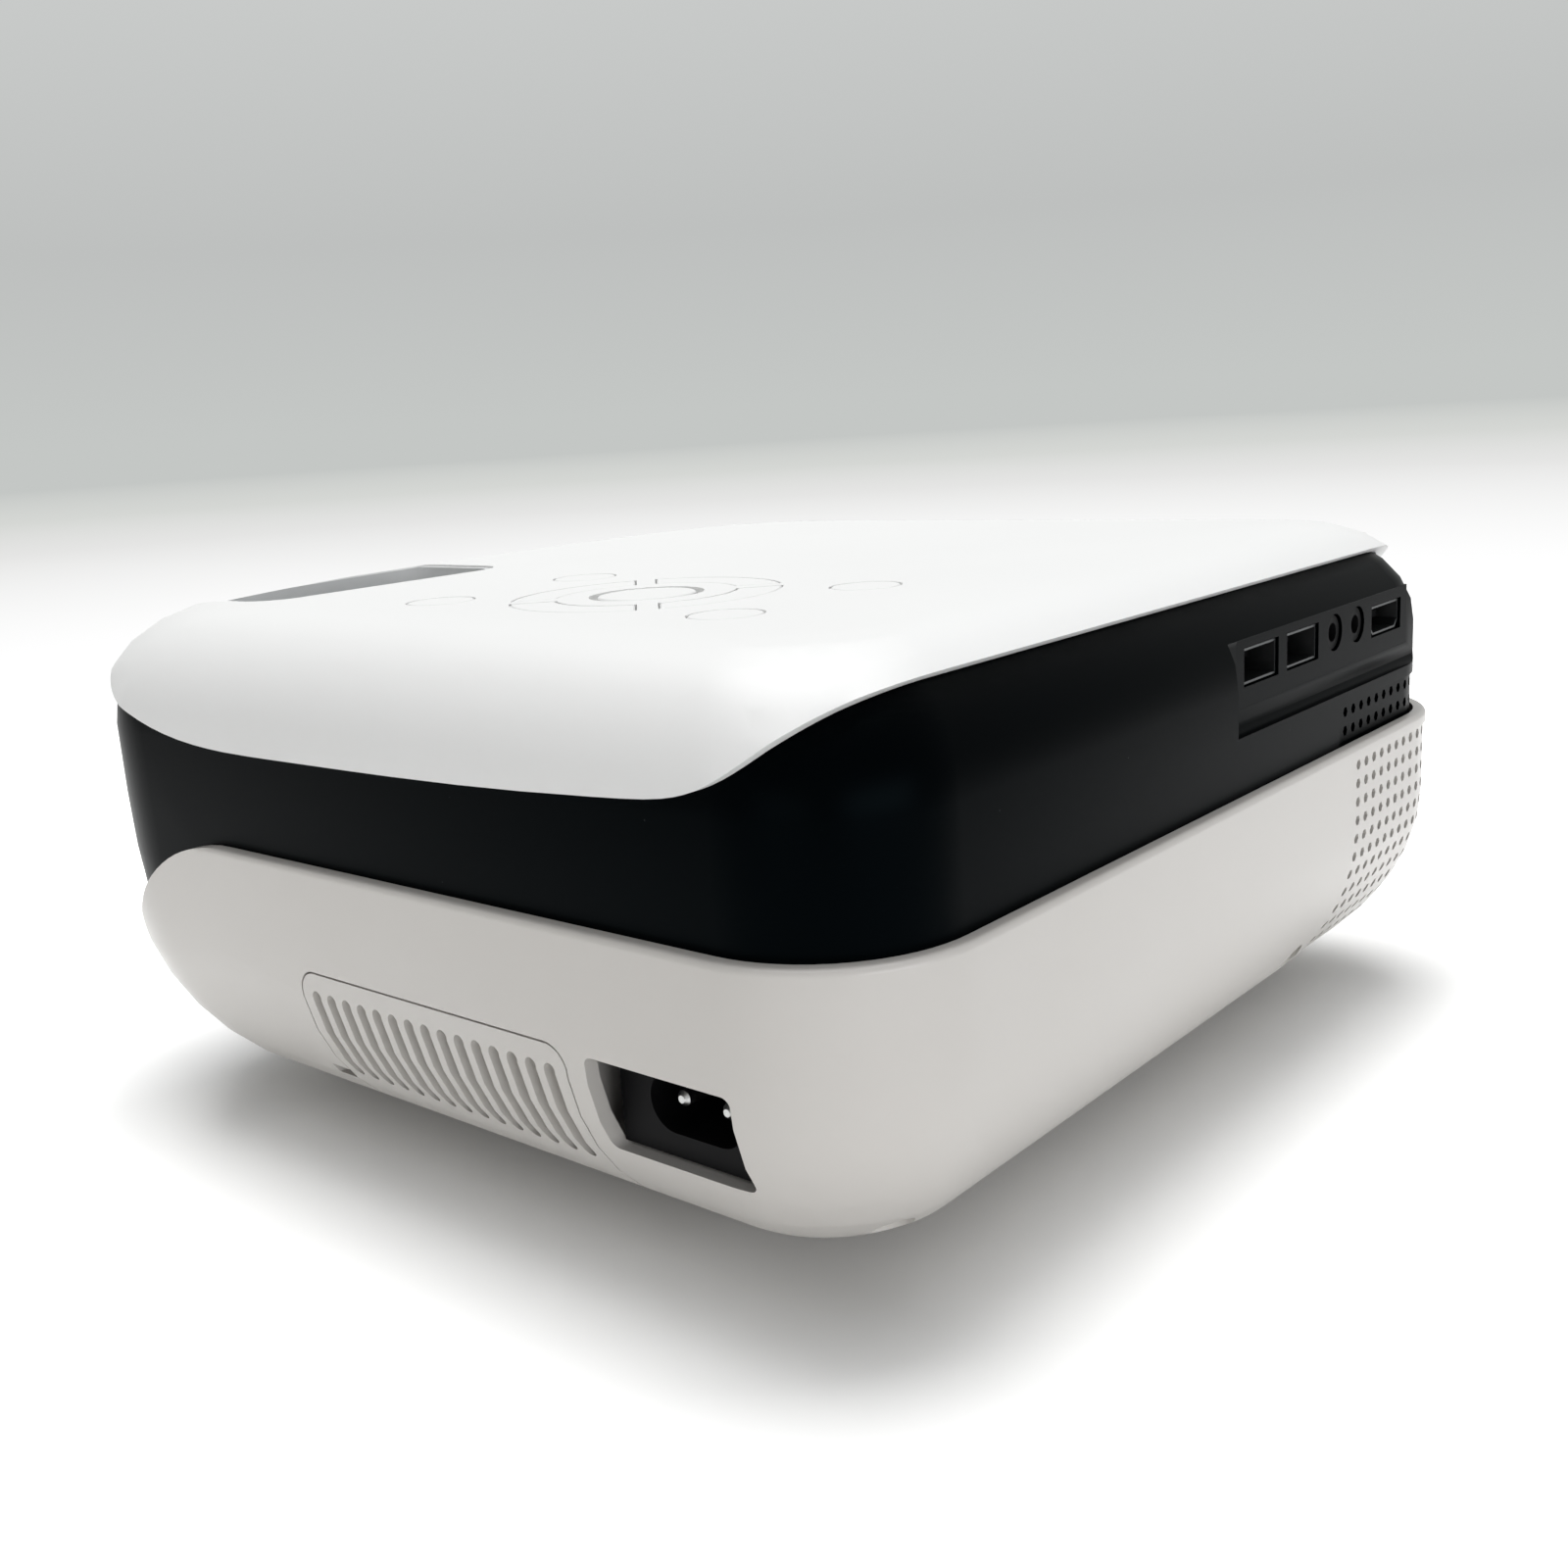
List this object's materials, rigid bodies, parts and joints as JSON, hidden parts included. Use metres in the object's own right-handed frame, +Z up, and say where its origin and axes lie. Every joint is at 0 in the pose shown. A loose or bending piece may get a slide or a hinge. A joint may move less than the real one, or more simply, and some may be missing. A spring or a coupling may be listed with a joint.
{
  "type": "projector with disc tray",
  "caption": "Small home projector with rounded white housing, black middle band, slide-out disc tray on one side, key pad and focus window on top, sockets at the back.",
  "frame": {"origin": "on the floor under the middle of the housing, in the plane of the rubber feet", "axes": "+Z up, -Y the front with the lens, +Y the back with the sockets, +X the side with the filter cover and mains inlet, -X the side with the disc tray"},
  "size_m": [0.212, 0.2052, 0.098],
  "materials": {
    "white_plastic": "satin",
    "shell_plastic": "satin",
    "black_plastic": "gloss",
    "grey_plastic": "satin",
    "dark_plastic": "matte",
    "ring_plastic": "matte",
    "foot_rubber": "matte",
    "steel": "satin",
    "pin_metal": "polished",
    "brass": "satin",
    "aluminium": "satin",
    "circuit_board": "satin",
    "lens_glass": "polished",
    "ir_filter": "gloss",
    "filter_foam": "matte",
    "copper_coil": "satin",
    "speaker_cone": "matte"
  },
  "bodies": {
    "housing": {"lower_shell": "shell_plastic", "middle_shell": "black_plastic", "port_panel": "black_plastic", "top_cover": "white_plastic", "speaker_grille": "shell_plastic", "band_grille": "black_plastic", "exhaust_grille": "shell_plastic", "window_bezel": "grey_plastic", "lens_bezel": "dark_plastic", "ir_window": "ir_filter", "rubber_feet": "foot_rubber", "tripod_insert": "brass", "case_screws": "steel", "key_board": "circuit_board", "main_board": "circuit_board", "socket_shells": "pin_metal", "socket_tongues": "dark_plastic", "audio_jacks": "dark_plastic", "power_inlet": "dark_plastic", "inlet_pins": "pin_metal", "power_board": "circuit_board", "power_transformer": "copper_coil", "speaker": "speaker_cone", "lens_housing": "dark_plastic", "light_tunnel": "dark_plastic", "fresnel_lenses": "lens_glass", "condenser_lens": "lens_glass", "led_board": "aluminium", "heat_sink": "aluminium", "intake_fan_frame": "dark_plastic", "exhaust_fan_frame": "dark_plastic", "drive_chassis": "steel"},
    "filter": {"filter_cover": "shell_plastic", "dust_filter": "filter_foam"},
    "levelling_foot": {"levelling_foot": "dark_plastic"},
    "focus_ring": {"focus_ring": "ring_plastic"},
    "lens": {"lens_barrel": "dark_plastic", "front_lens": "lens_glass", "rear_lens": "lens_glass"},
    "keystone_ring": {"keystone_ring": "ring_plastic"},
    "lcd": {"lcd_panel": "lens_glass"},
    "intake_rotor": {"intake_fan_rotor": "dark_plastic"},
    "exhaust_rotor": {"exhaust_fan_rotor": "dark_plastic"},
    "tray": {"disc_tray": "dark_plastic", "tray_bezel": "black_plastic", "spindle_motor": "steel", "sled_rods": "steel"},
    "rails": {"tray_rails": "steel"},
    "eject_button": {"eject_button": "black_plastic"},
    "spindle_hub": {"spindle_hub": "dark_plastic"},
    "laser_sled": {"laser_sled": "dark_plastic"},
    "ok_button": {"ok_button": "white_plastic"},
    "power_button": {"power_button": "white_plastic"},
    "source_button": {"source_button": "white_plastic"},
    "menu_button": {"menu_button": "white_plastic"},
    "back_button": {"back_button": "white_plastic"},
    "key_left": {"key_left": "white_plastic"},
    "key_down": {"key_down": "white_plastic"},
    "key_right": {"key_right": "white_plastic"},
    "key_up": {"key_up": "white_plastic"}
  },
  "joints": [
    {"name": "filter_pull", "type": "slide", "parent": "housing", "child": "filter", "axis": [1, 0, 0], "range_m": [0, 0.03]},
    {"name": "levelling_screw", "type": "slide", "parent": "housing", "child": "levelling_foot", "axis": [0, 0, -1], "range_m": [0, 0.012]},
    {"name": "ok_button_press", "type": "slide", "parent": "housing", "child": "ok_button", "axis": [0, 0, -1], "range_m": [0, 0.0006], "stiffness_N_per_m": 800, "springref_m": -0.0006},
    {"name": "power_button_press", "type": "slide", "parent": "housing", "child": "power_button", "axis": [0, 0, -1], "range_m": [0, 0.0006], "stiffness_N_per_m": 800, "springref_m": -0.0006},
    {"name": "source_button_press", "type": "slide", "parent": "housing", "child": "source_button", "axis": [0, 0, -1], "range_m": [0, 0.0006], "stiffness_N_per_m": 800, "springref_m": -0.0006},
    {"name": "menu_button_press", "type": "slide", "parent": "housing", "child": "menu_button", "axis": [0, 0, -1], "range_m": [0, 0.0006], "stiffness_N_per_m": 800, "springref_m": -0.0006},
    {"name": "back_button_press", "type": "slide", "parent": "housing", "child": "back_button", "axis": [0, 0, -1], "range_m": [0, 0.0006], "stiffness_N_per_m": 800, "springref_m": -0.0006},
    {"name": "key_left_press", "type": "slide", "parent": "housing", "child": "key_left", "axis": [0, 0, -1], "range_m": [0, 0.0006], "stiffness_N_per_m": 800, "springref_m": -0.0006},
    {"name": "key_down_press", "type": "slide", "parent": "housing", "child": "key_down", "axis": [0, 0, -1], "range_m": [0, 0.0006], "stiffness_N_per_m": 800, "springref_m": -0.0006},
    {"name": "key_right_press", "type": "slide", "parent": "housing", "child": "key_right", "axis": [0, 0, -1], "range_m": [0, 0.0006], "stiffness_N_per_m": 800, "springref_m": -0.0006},
    {"name": "key_up_press", "type": "slide", "parent": "housing", "child": "key_up", "axis": [0, 0, -1], "range_m": [0, 0.0006], "stiffness_N_per_m": 800, "springref_m": -0.0006},
    {"name": "focus_turn", "type": "hinge", "parent": "housing", "child": "focus_ring", "pos_m": [0.049, -0.077, 0.052], "axis": [0, 1, 0], "range_deg": [-60, 60]},
    {"name": "lens_slide", "type": "slide", "parent": "housing", "child": "lens", "axis": [0, -1, 0], "range_m": [-0.004, 0.004]},
    {"name": "keystone_turn", "type": "hinge", "parent": "housing", "child": "keystone_ring", "pos_m": [0.049, -0.064, 0.052], "axis": [0, 1, 0], "range_deg": [-30, 30]},
    {"name": "lcd_tilt", "type": "hinge", "parent": "housing", "child": "lcd", "pos_m": [0.049, -0.006, 0.052], "axis": [1, 0, 0], "range_deg": [-5, 5]},
    {"name": "intake_fan_spin", "type": "hinge", "parent": "housing", "child": "intake_rotor", "pos_m": [0.078, 0.016, 0.0375], "axis": [1, 0, 0], "continuous": true},
    {"name": "exhaust_fan_spin", "type": "hinge", "parent": "housing", "child": "exhaust_rotor", "pos_m": [-0.077, 0.016, 0.0358], "axis": [1, 0, 0], "continuous": true},
    {"name": "tray_slide", "type": "slide", "parent": "housing", "child": "tray", "axis": [-1, 0, 0], "range_m": [0, 0.118]},
    {"name": "rail_slide", "type": "slide", "parent": "housing", "child": "rails", "axis": [-1, 0, 0], "range_m": [0, 0.059]},
    {"name": "eject_press", "type": "slide", "parent": "tray", "child": "eject_button", "axis": [1, 0, 0], "range_m": [0, 0.0007], "stiffness_N_per_m": 600, "springref_m": -0.0006},
    {"name": "disc_spin", "type": "hinge", "parent": "tray", "child": "spindle_hub", "pos_m": [-0.03915, 0.015, 0.069], "axis": [0, 0, 1], "continuous": true},
    {"name": "sled_travel", "type": "slide", "parent": "tray", "child": "laser_sled", "axis": [1, 0, 0], "range_m": [0, 0.028]}
  ],
  "couplings": [
    {"joint": "lens_slide", "follows": "focus_turn", "m_per_rad": 0.0038},
    {"joint": "lcd_tilt", "follows": "keystone_turn", "ratio": 0.16},
    {"joint": "rail_slide", "follows": "tray_slide", "ratio": 0.5}
  ]
}
